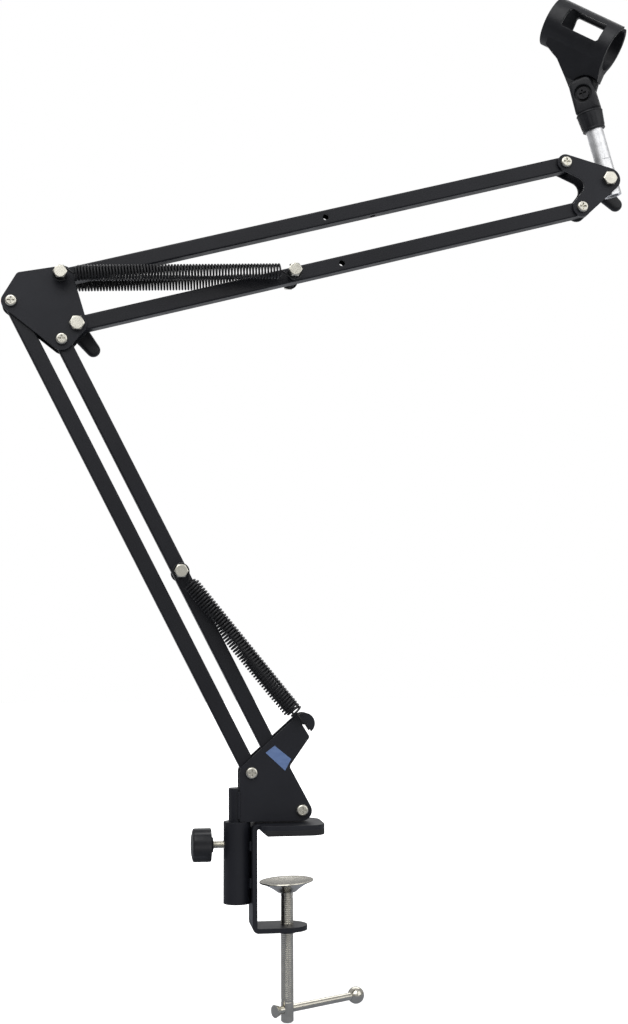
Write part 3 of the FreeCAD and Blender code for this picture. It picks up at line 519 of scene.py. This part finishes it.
def thread(bm, start, axis, length, outer, depth, pitch, crest):
    """Helical ridge along an axis, run out at both ends; the crest is its flat share of the pitch."""
    first = axis.orthogonal().normalized()
    second = axis.cross(first)
    steps = 24
    count = int(length / pitch - 1) * steps
    foot_share = 0.03
    sunk = 1.05    # depths from the crest to the ridge's foot, just under the root
    flat = (1 - crest) / 2
    profile = ((foot_share, 0.0), (flat, 1.0), (1 - flat, 1.0), (1 - foot_share, 0.0))
    lines = []
    for k in range(count + 1):
        angle = 2 * math.pi * k / steps
        spoke = first * math.cos(angle) + second * math.sin(angle)
        share = smooth_step(min(k, count - k) / steps)
        foot = start + axis * (pitch * k / steps)
        line = []
        for along, rise in profile:
            reach = outer - depth * (sunk - rise * share)
            line.append(bm.verts.new(foot + axis * (pitch * along) + spoke * reach))
        lines.append(line)
    for low, high in zip(lines, lines[1:]):
        for j in range(len(profile) - 1):
            bm.faces.new((low[j], low[j + 1], high[j + 1], high[j]))
    bm.faces.new(lines[0])
    bm.faces.new(lines[-1])


def smooth_step(share):
    """Eased share from 0 to 1."""
    share = max(0.0, min(1.0, share))
    return share * share * (3 - 2 * share)


# Springs
def eye(centre, towards, radius, lead):
    """Hook from its lead's end on the spring's axis to a bush and most of the way round it."""
    across = towards.cross(Vector((0, 1, 0))).normalized()
    start = centre + towards * lead
    touch = math.acos(radius / lead)
    points = []
    straight = 5
    tangent = centre + (towards * math.cos(touch) + across * math.sin(touch)) * radius
    for k in range(straight):
        points.append(start.lerp(tangent, k / straight))
    sweep = 2 * math.pi - 2 * touch
    turns = 26
    for k in range(turns + 1):
        angle = touch + sweep * k / turns
        points.append(centre + (towards * math.cos(angle) + across * math.sin(angle)) * radius)
    return points


def helix(start, end, turns, phase):
    """Close-wound coil between two points of its axis, drawn in to the axis at both ends."""
    axis = (end - start).normalized()
    length = (end - start).length
    side = axis.cross(Vector((0, 1, 0))).normalized()
    up = side.cross(axis)
    radius = (coil_diameter - wire_diameter) / 2
    drawn = 0.45
    steps = int(turns * steps_per_turn)
    points = []
    for k in range(steps + 1):
        turn = turns * k / steps
        ease = smooth_step(min(turn, turns - turn) / drawn)
        angle = 2 * math.pi * (turn + phase)
        spoke = up * math.cos(angle) + side * math.sin(angle)
        points.append(start + axis * (length * k / steps) + spoke * (radius * ease))
    return points


def spring(name, points, start, end, turning):
    """Wire between two bodies' pins, made as a root piece and a rest piece cut at the split share."""
    axis = end - start
    shares = [(point - start).dot(axis) / axis.length_squared for point in points]
    cut = next(k for k, share in enumerate(shares) if share > turning["split"])
    for word, part in (("root", points[:cut + 1]), ("rest", points[cut:])):
        bm = bmesh.new()
        tube(bm, part, wire_diameter / 2, wire_sides)
        shape = piece(name + "_" + word, bm, None, "spring_black", 60)
        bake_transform(shape)
    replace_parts(shape, name)


bush_radius = (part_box("upper_spring_bushes")[1].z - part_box("upper_spring_bushes")[0].z) / 2
eye_radius = bush_radius + wire_diameter / 2 + eye_clearance
eye_lead = eye_radius + eye_reach


def in_plane(node, y):
    """Middle of a node, moved to a plane of y."""
    place = middle(node)
    return Vector((place.x, y, place.z))


def upper_spring(word, side):
    """Spring from the elbow's bolt to the bottom bar's bolt, with an eye round the bush at each end."""
    start = in_plane("elbow_spring_bolt", side * spring_plane)
    end = in_plane("upper_spring_bolt", side * spring_plane)
    way = (end - start).normalized()
    head = eye(start, way, eye_radius, eye_lead)[::-1]
    coil = helix(start + way * coil_margin, end - way * coil_margin, upper_turns, coil_phase[word])
    tail = eye(end, -way, eye_radius, eye_lead)
    points = head + coil + tail
    spring("upper_spring_" + word, points, start, end, upper_turning)


def lower_spring(word, side):
    """Spring from the inner bar's bolt to the base plate's hook, with a leg through the hook's slot."""
    start = in_plane("lower_spring_bolt", side * spring_plane)
    foot = Vector((hook_leg.x, side * hook_plane, hook_leg.z))
    way = (foot - start).normalized()
    head = eye(start, way, eye_radius, eye_lead)[::-1]
    coil_end = foot - way * hook_margin
    coil = helix(start + way * coil_margin, coil_end, lower_turns, coil_phase[word])
    corner = foot + way * hook_bend
    inner = Vector((hook_leg.x, side * plate_outer, hook_leg.z))
    bend = []
    for k in range(1, bend_steps + 1):
        share = k / bend_steps
        bend.append(coil_end.lerp(corner, share).lerp(corner.lerp(inner, share), share))
    bend.append(Vector((hook_leg.x, side * plate_inner, hook_leg.z)))
    points = head + coil + bend
    spring("lower_spring_" + word, points[::-1], foot, start, lower_turning)


for word, side in (("front", -1), ("back", 1)):
    upper_spring(word, side)
    lower_spring(word, side)


# Bolts with chamfered hexagon heads
def hex_bolt(name, body):
    """Hexagon bolt on the frame's own bolt, its head's corners cut by a cone."""
    low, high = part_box(name)
    centre = middle(name)
    flats = min(high.x - low.x, high.z - low.z)
    face = low.y
    round_top = 0.46 * flats
    count = 60
    rings = [[], [], []]
    bm = bmesh.new()
    for k in range(count):
        angle = 2 * math.pi * k / count
        off_flat = (angle + math.pi / 6) % (math.pi / 3) - math.pi / 6
        reach = flats / 2 / math.cos(off_flat)
        drop = (reach - round_top) * chamfer_slope
        places = ((reach, face + bolt_head_height), (reach, face + drop), (round_top, face))
        for ring, (radius, y) in zip(rings, places):
            x = centre.x + radius * math.sin(angle)
            z = centre.z + radius * math.cos(angle)
            ring.append(bm.verts.new((x, y, z)))
    for near, far in zip(rings, rings[1:]):
        for k in range(count):
            bm.faces.new((near[k], near[(k + 1) % count], far[(k + 1) % count], far[k]))
    bm.faces.new(rings[0])
    bm.faces.new(rings[-1])
    shank = Vector((centre.x, face + bolt_head_height - shank_sunk, centre.z))
    length = high.y - shank.y
    half = bolt_diameter / 2
    profile = ((0, 0), (half, 0), (half, length - shank_bevel), (half - shank_bevel, length), (0, length))
    lathe(bm, profile, shank, Vector((0, 1, 0)), 24)
    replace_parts(piece(name + "_detail", bm, body, "nickel", 20), name)


hex_bolt("elbow_spring_bolt", "elbow")
hex_bolt("elbow_lock_bolt", "elbow")
hex_bolt("upper_spring_bolt", "upper_bottom_bar")
hex_bolt("lower_spring_bolt", "lower_inner_bar")
hex_bolt("head_lock_bolt", "head")


# Wing knobs
def wing_knob(word):
    """Moulded knob with two soft-edged tapering wings on a round hub."""
    name = word + "_wing_knob"
    low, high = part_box(name)
    centre = joint_place[word + "_wing_turn"]
    way = math.radians(wing_angles[word])
    reach = (wing_span - wing_tip_width) / 2
    root = (centre.x, centre.z, wing_root_width / 2)
    tips = []
    for sign in (1, -1):
        x = centre.x + sign * reach * math.cos(way)
        z = centre.z + sign * reach * math.sin(way)
        tips.append((x, z, wing_tip_width / 2))
    bm = bmesh.new()
    rounded_slab(bm, belt([tips[0], root, tips[1], root]), high.y - wing_thickness, high.y, wing_edge)
    radius = wing_hub_diameter / 2
    depth = high.y - low.y
    profile = ((0, 0), (radius - hub_bevel, 0), (radius, hub_bevel),
               (radius, depth - wing_thickness), (0, depth - hub_sunk))
    lathe(bm, profile, Vector((centre.x, low.y, centre.z)), Vector((0, 1, 0)), 40)
    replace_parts(piece(name + "_detail", bm, word + "_wing", "moulded_black", 40), name)


for word in wing_angles:
    wing_knob(word)


# Clip base: ribbed skirt on the post and two soft-edged cheeks round the clip's tongue
def skirt(bm, foot):
    """Flared sleeve with fine ribs, a lip at its foot and a soft ridge at its top."""
    ridge = skirt_length - ridge_round

    def ribs(angle, along):
        share = smooth_step((along - skirt_lip) / rib_fade) * smooth_step((ridge - along) / rib_fade)
        return 1 + share * rib_height / skirt_top * (0.5 + 0.5 * math.cos(skirt_ribs * angle))

    profile = [(0, 0), (skirt_foot - lip_bevel, 0), (skirt_foot, lip_bevel), (skirt_foot, lip_band)]
    profile.append((skirt_foot - rib_height, skirt_lip))
    steps = 12
    for k in range(1, steps + 1):
        along = skirt_lip + (ridge - skirt_lip) * k / steps
        flare = (skirt_top - skirt_foot) * along / skirt_length
        profile.append((skirt_foot + flare - rib_height, along))
    for k in range(9):
        angle = math.pi / 2 * k / 8
        inset = ridge_round * (1 - math.cos(angle))
        profile.append((skirt_top - inset, ridge + ridge_round * math.sin(angle)))
    profile.append((0, ridge + ridge_round))
    lathe(bm, profile, foot, Vector((0, 0, 1)), rib_points * skirt_ribs, ribs)


def cheek(bm, outline, side, hole):
    """Plate on one side of the tongue, rounded outside, with a round recess for the screw or nut."""
    circle = []
    for x, z, nx, nz in outline:
        reach = math.hypot(x, z)
        circle.append((x / reach, z / reach))
    rings = []
    mouth = ((hole, recess_floor), (hole, cheek_outer - recess_bevel), (hole + recess_bevel, cheek_outer))
    for radius, y in mouth:
        rings.append([bm.verts.new((x * radius, side * y, z * radius)) for x, z in circle])
    steps = 6
    for k in range(steps + 1):
        angle = math.pi / 2 * k / steps
        inset = cheek_edge * (1 - math.sin(angle))
        y = side * (cheek_outer - cheek_edge * (1 - math.cos(angle)))
        rings.append([bm.verts.new((x - nx * inset, y, z - nz * inset)) for x, z, nx, nz in outline])
    rings.append([bm.verts.new((x, side * cheek_inner, z)) for x, z, nx, nz in outline])
    count = len(outline)
    for low, high in zip(rings, rings[1:]):
        for k in range(count):
            bm.faces.new((low[k], low[(k + 1) % count], high[(k + 1) % count], high[k]))
    bm.faces.new(rings[0])
    bm.faces.new(rings[-1])


def clip_base():
    """Skirt and cheeks, made with the hinge at the origin and the post along Z."""
    up = joint_axis["clip_swivel"]
    out = joint_axis["clip_tilt"]
    hinge = joint_place["clip_tilt"]
    rise = (hinge - joint_place["clip_swivel"]).length
    bm = bmesh.new()
    skirt(bm, Vector((0, 0, skirt_rise - rise)))
    corners = []
    for side in (-1, 1):
        corners.append((side * (cheek_half_width - cheek_foot_round), cheek_foot, cheek_foot_round))
    for side in (1, -1):
        corners.append((side * cheek_top_x, cheek_top_z, cheek_top_round))
    outline = divided(belt(corners), outline_step)
    cheek(bm, outline, -1, head_recess)
    cheek(bm, outline, 1, nut_recess)
    turn = Matrix((out.cross(up), out, up)).transposed().to_4x4()
    bm.transform(Matrix.Translation(hinge) @ turn)
    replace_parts(piece("clip_base_detail", bm, "clip_base", "moulded_black", 40), "clip_base")


clip_base()


# Clamp: pressure pad, clamp screw, lock screw and knob
def pressure_pad():
    """Thin steel dish on a bowl that narrows to the screw, a little askew."""
    low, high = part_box("pressure_pad")
    centre = middle("pressure_pad")
    rim = (high.x - low.x) / 2
    tall = high.z - low.z
    profile = [(0, tall - dish_depth)]
    for k in range(1, 9):
        share = k / 8
        profile.append(((rim - dish_margin) * share, tall - dish_depth * (1 - share * share)))
    for inset, drop in rim_section:
        profile.append((rim - inset, tall - drop))
    rim_inset, rim_drop = rim_section[-1]
    for k in range(1, 13):
        share = k / 12
        bowl = rim - rim_inset + (bowl_neck - rim) * share
        fall = bowl_straight * share + bowl_curved * share * share
        profile.append((bowl, tall - rim_drop - bowl_depth * fall))
    profile += [(boss_radius, tall - boss_drop), (boss_radius, 0), (0, 0)]
    bm = bmesh.new()
    lathe(bm, profile, Vector((0, 0, 0)), Vector((0, 0, 1)), 72)
    turn = Matrix.Rotation(math.radians(-pad_tilt), 4, "Y")
    bm.transform(Matrix.Translation(Vector((centre.x, centre.y, low.z))) @ turn)
    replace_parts(piece("pressure_pad_detail", bm, "pressure_pad", "bright_steel", 30), "pressure_pad")


def clamp_screw():
    """Screw with a helical thread, a plain turned foot and a bevelled end."""
    low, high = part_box("clamp_screw")
    centre = middle("clamp_screw")
    outer = (high.x - low.x) / 2
    tall = high.z - low.z
    root = outer - clamp_depth
    top = tall - clamp_end
    profile = ((0, 0), (outer - clamp_bevel, 0), (outer, clamp_bevel), (outer, clamp_plain),
               (root, clamp_plain + clamp_depth), (root, top), (0, top))
    bm = bmesh.new()
    foot = Vector((centre.x, centre.y, low.z))
    lathe(bm, profile, foot, Vector((0, 0, 1)), 40)
    start = foot + Vector((0, 0, clamp_plain))
    thread(bm, start, Vector((0, 0, 1)), top - clamp_plain, outer, clamp_depth, clamp_pitch, clamp_crest)
    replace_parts(piece("clamp_screw_detail", bm, "clamp_screw", "bright_steel", 25), "clamp_screw")


def lock_screw():
    """Short threaded stud between the knob and the socket."""
    low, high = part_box("lock_screw")
    centre = middle("lock_screw")
    outer = (high.z - low.z) / 2
    length = high.x - low.x
    bm = bmesh.new()
    start = Vector((low.x, centre.y, centre.z))
    root = outer - lock_depth
    lathe(bm, ((0, 0), (root, 0), (root, length), (0, length)), start, Vector((1, 0, 0)), 32)
    thread(bm, start, Vector((1, 0, 0)), length, outer, lock_depth, lock_pitch, lock_crest)
    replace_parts(piece("lock_screw_detail", bm, "lock_screw", "nickel", 25), "lock_screw")


def lock_knob():
    """Knob with soft lobes, a domed face and a short taper to its hub."""
    low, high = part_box("lock_knob")
    centre = joint_place["lock_knob_turn"]
    radius = (high.z - low.z) / 2
    length = high.x - low.x

    def lobes(angle, along):
        return 1 - knob_flute / radius * (0.5 - 0.5 * math.cos(knob_lobes * angle)) ** 2

    profile = [(0, 0)]
    for share, along in knob_face:
        profile.append((share * radius, along))
    for k in range(7):
        angle = math.pi / 2 * k / 6
        inset = knob_edge * (1 - math.sin(angle))
        profile.append((radius - inset, knob_dome + knob_edge * (1 - math.cos(angle))))
    for share, along in knob_back:
        profile.append((share * radius, along * length))
    profile.append((knob_hub_foot * radius, length - knob_hub_length))
    profile += [(knob_hub_end * radius, length), (0, length)]
    bm = bmesh.new()
    lathe(bm, profile, Vector((low.x, centre.y, centre.z)), Vector((1, 0, 0)), 112, lobes)
    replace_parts(piece("lock_knob_detail", bm, "lock_knob", "moulded_black", 30), "lock_knob")


pressure_pad()
clamp_screw()
lock_screw()
lock_knob()

# Stage, lights and camera
low_corner = Vector(cad_box[0])


def stage_material():
    """Pale sweep that keeps soft shadows near the part and runs out into plain white."""
    material, tree, shader, place = new_material("sweep")
    rays = tree.nodes.new("ShaderNodeLightPath")
    tone = blend_colours(tree, rays.outputs["Is Glossy Ray"], floor_colour, mirrored_floor)
    tree.links.new(tone, shader.inputs["Base Color"])
    shader.inputs["Roughness"].default_value = 0.9
    shader.inputs["Emission Color"].default_value = (1, 1, 1, 1)
    reach = tree.nodes.new("ShaderNodeVectorMath")
    reach.operation = "LENGTH"
    tree.links.new(place, reach.inputs[0])
    glow = remap(tree, reach.outputs["Value"], 0.25, 1.0, 0.35, 1.0)
    seen = combine(tree, "MAXIMUM", rays.outputs["Is Camera Ray"], rays.outputs["Is Transmission Ray"])
    far = remap(tree, reach.outputs["Value"], 0.5, 1.4, 0.0, 0.6)
    mirrored = combine(tree, "MULTIPLY", rays.outputs["Is Glossy Ray"], far)
    strength = combine(tree, "MAXIMUM", combine(tree, "MULTIPLY", seen, glow), mirrored)
    tree.links.new(strength, shader.inputs["Emission Strength"])
    return material


def floor():
    """Large plain floor under the part."""
    bm = bmesh.new()
    height = low_corner.z - floor_gap
    near = [(side * floor_half, floor_front, height) for side in (-1, 1)]
    far = [(side * floor_half, floor_half, height) for side in (1, -1)]
    bm.faces.new([bm.verts.new(corner) for corner in near + far])
    mesh = bpy.data.meshes.new("floor")
    bm.to_mesh(mesh)
    bm.free()
    plane = bpy.data.objects.new("floor", mesh)
    bpy.context.scene.collection.objects.link(plane)
    mesh.materials.append(stage_material())


def world():
    """Plain white to the camera; reflections show a softly lit front, sweep and ceiling."""
    scene_world = bpy.data.worlds.new("studio")
    bpy.context.scene.world = scene_world
    scene_world.use_nodes = True
    tree = scene_world.node_tree
    background = tree.nodes["Background"]
    background.inputs["Color"].default_value = (1, 1, 1, 1)
    direction = tree.nodes.new("ShaderNodeTexCoord")
    axes = tree.nodes.new("ShaderNodeSeparateXYZ")
    tree.links.new(direction.outputs["Generated"], axes.inputs["Vector"])
    front = remap(tree, axes.outputs["Z"], -0.3, 0.3, *front_levels)
    left = remap(tree, axes.outputs["X"], -0.6, -0.1, 1.0, 0.0)
    aside = remap(tree, axes.outputs["Y"], -0.85, -0.35, 0.0, 1.0)
    gloom = combine(tree, "MAXIMUM", left, aside)
    gloom = combine(tree, "MULTIPLY", gloom, remap(tree, axes.outputs["Z"], -0.05, 0.25, *gloom_levels))
    front = combine(tree, "MULTIPLY", front, combine(tree, "SUBTRACT", 1.0, gloom))
    behind = remap(tree, axes.outputs["Y"], 0.0, 0.6, 0.0, behind_level)
    above = remap(tree, axes.outputs["Z"], 0.4, 0.9, 0.0, above_level)
    room = combine(tree, "MAXIMUM", combine(tree, "MAXIMUM", front, behind), above)
    rays = tree.nodes.new("ShaderNodeLightPath")
    glossy = combine(tree, "MULTIPLY", rays.outputs["Is Glossy Ray"], room)
    seen = combine(tree, "MAXIMUM", rays.outputs["Is Camera Ray"], rays.outputs["Is Transmission Ray"])
    other = combine(tree, "SUBTRACT", 1.0, combine(tree, "MAXIMUM", seen, rays.outputs["Is Glossy Ray"]))
    strength = combine(tree, "MAXIMUM", seen, glossy)
    strength = combine(tree, "MAXIMUM", strength, combine(tree, "MULTIPLY", other, plain_level))
    tree.links.new(strength, background.inputs["Strength"])


def softbox(name, place, aim, size, watts):
    """Rectangular area lamp, aimed at a point."""
    lamp = bpy.data.lights.new(name, "AREA")
    lamp.shape = "RECTANGLE"
    lamp.size = size[0]
    lamp.size_y = size[1]
    lamp.energy = watts
    holder = bpy.data.objects.new(name, lamp)
    holder.location = place
    holder.rotation_euler = (Vector(aim) - Vector(place)).to_track_quat("-Z", "Y").to_euler()
    bpy.context.scene.collection.objects.link(holder)


def camera():
    """Camera at the fitted place, aimed by yaw, pitch and roll."""
    forward = Vector((math.sin(camera_yaw) * math.cos(camera_pitch),
                      math.cos(camera_yaw) * math.cos(camera_pitch), math.sin(camera_pitch)))
    right = Vector((math.cos(camera_yaw), -math.sin(camera_yaw), 0))
    up = right.cross(forward)
    rolled_right = right * math.cos(camera_roll) + up * math.sin(camera_roll)
    rolled_up = up * math.cos(camera_roll) - right * math.sin(camera_roll)
    lens = bpy.data.cameras.new("camera")
    lens.sensor_fit = "VERTICAL"
    lens.sensor_height = sensor
    lens.lens = focal_pixels / image_height * sensor
    lens.clip_start = 0.01
    holder = bpy.data.objects.new("camera", lens)
    turn = Matrix((rolled_right, rolled_up, -forward)).transposed().to_4x4()
    holder.matrix_world = Matrix.Translation(camera_place) @ turn
    bpy.context.scene.collection.objects.link(holder)
    bpy.context.scene.camera = holder


floor()
world()
softbox("key", (-0.6, -1.3, 1.7), lamp_target, (1.9, 1.9), key_watts)
softbox("fill", (1.3, -1.1, 0.9), lamp_target, (1.6, 1.6), fill_watts)
softbox("rim", (0.3, 1.3, 1.3), lamp_target, (1.8, 1.2), rim_watts)
camera()
bpy.context.scene.view_settings.view_transform = "Standard"
